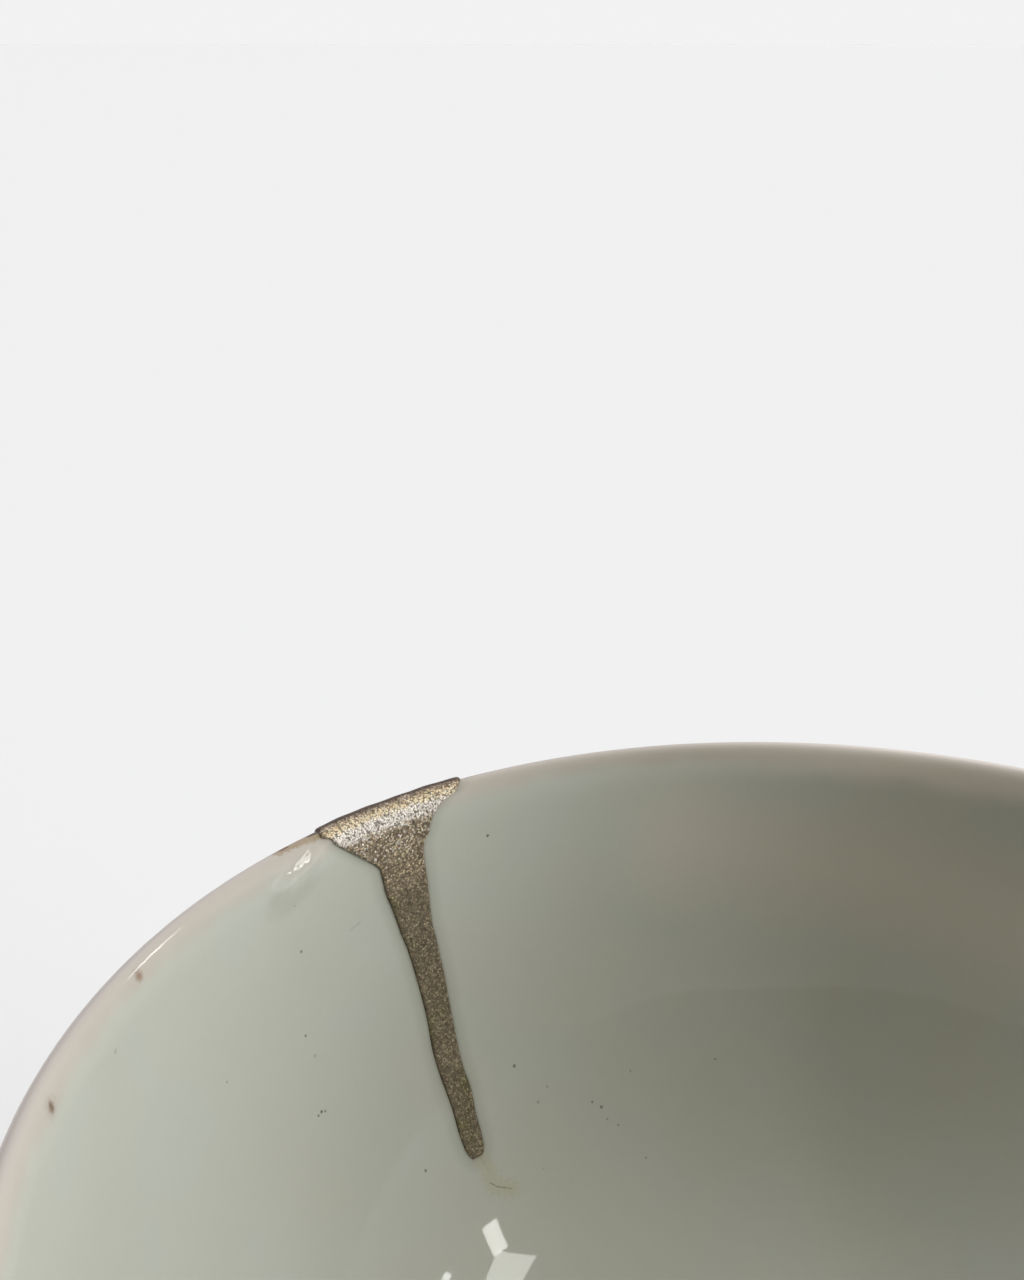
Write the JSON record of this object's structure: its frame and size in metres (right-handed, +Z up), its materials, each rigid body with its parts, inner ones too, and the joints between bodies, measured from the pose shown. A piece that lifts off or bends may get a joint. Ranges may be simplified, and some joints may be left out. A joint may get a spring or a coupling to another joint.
{
  "type": "kintsugi cup",
  "caption": "Low open porcelain tea cup on a foot ring, with a chip and crack in its rim filled with gold lacquer.",
  "frame": {"origin": "middle of the circle that the foot ring stands on", "axes": "+Z up along the cup's axis, +Y to the far side of the rim, with the repair on the far wall left of the middle"},
  "size_m": [0.096, 0.096, 0.0503],
  "materials": {
    "glazed_porcelain": "glossy pale grey-green glaze, thinner and warmer at the lip, with a few iron specks",
    "gold_lacquer": "sprinkled gold powder on brown lacquer, grainy and half matt"
  },
  "bodies": {
    "root": {"porcelain_cup": "glazed_porcelain", "gold_repair": "gold_lacquer"}
  },
  "joints": []
}
